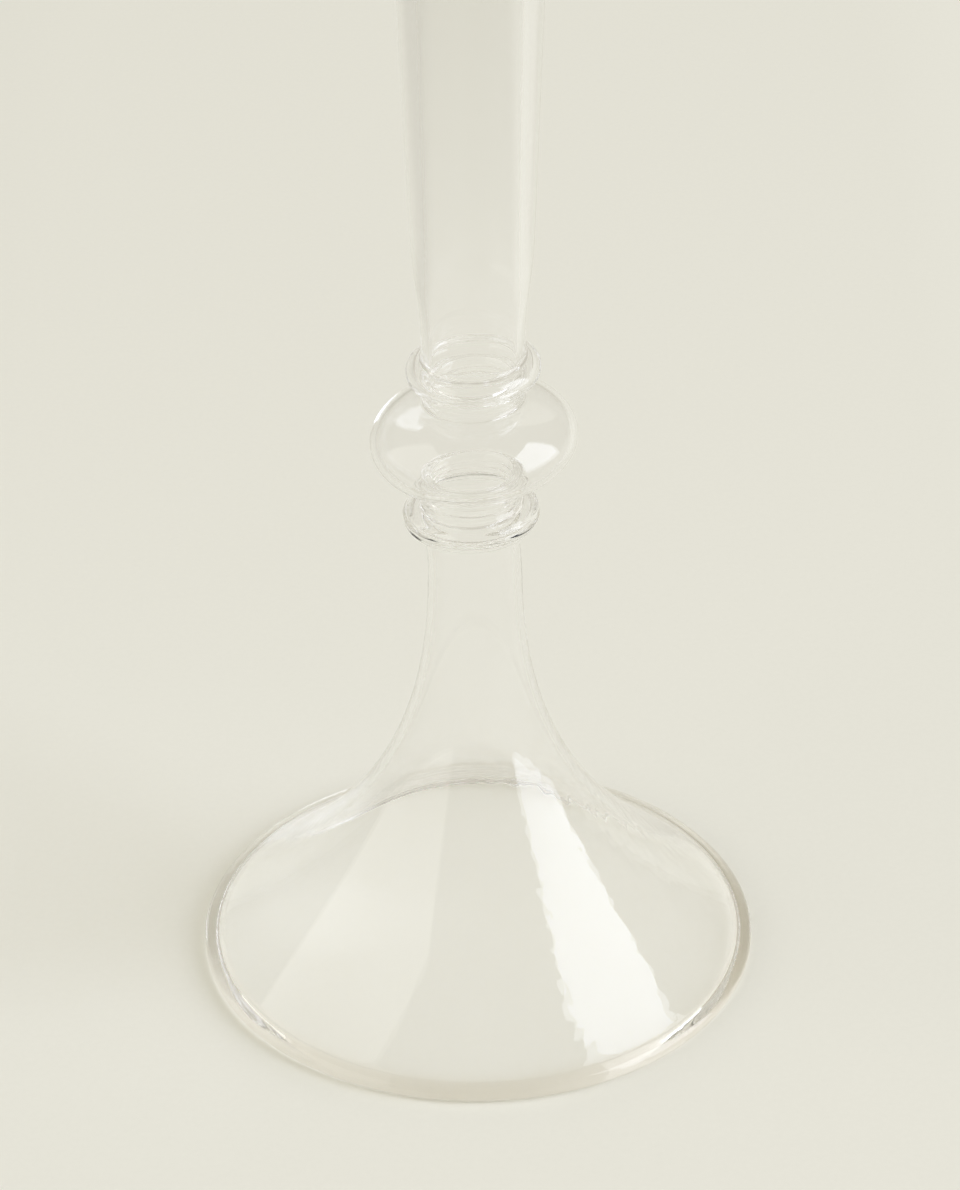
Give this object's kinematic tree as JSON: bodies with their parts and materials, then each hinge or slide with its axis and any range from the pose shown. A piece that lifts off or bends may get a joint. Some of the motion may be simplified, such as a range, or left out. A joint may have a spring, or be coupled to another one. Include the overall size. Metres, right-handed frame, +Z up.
{
  "type": "candlestick",
  "caption": "Clear blown glass candlestick with a bell foot, a ball knop between two ring collars and a tall flared stem ending in a dinner candle socket.",
  "frame": {"origin": "centre of the foot's resting plane", "axes": "+Z up the stem's axis; the piece is turned about Z, so +X and +Y are any two square directions"},
  "size_m": [0.1, 0.1, 0.25],
  "materials": {
    "clear_glass": "polished"
  },
  "bodies": {
    "root": {"foot_rim": "clear_glass", "foot_bell": "clear_glass", "lower_collar": "clear_glass", "bulb_knop": "clear_glass", "upper_collar": "clear_glass", "stem_tube": "clear_glass", "candle_socket": "clear_glass", "socket_lip": "clear_glass"}
  },
  "joints": []
}
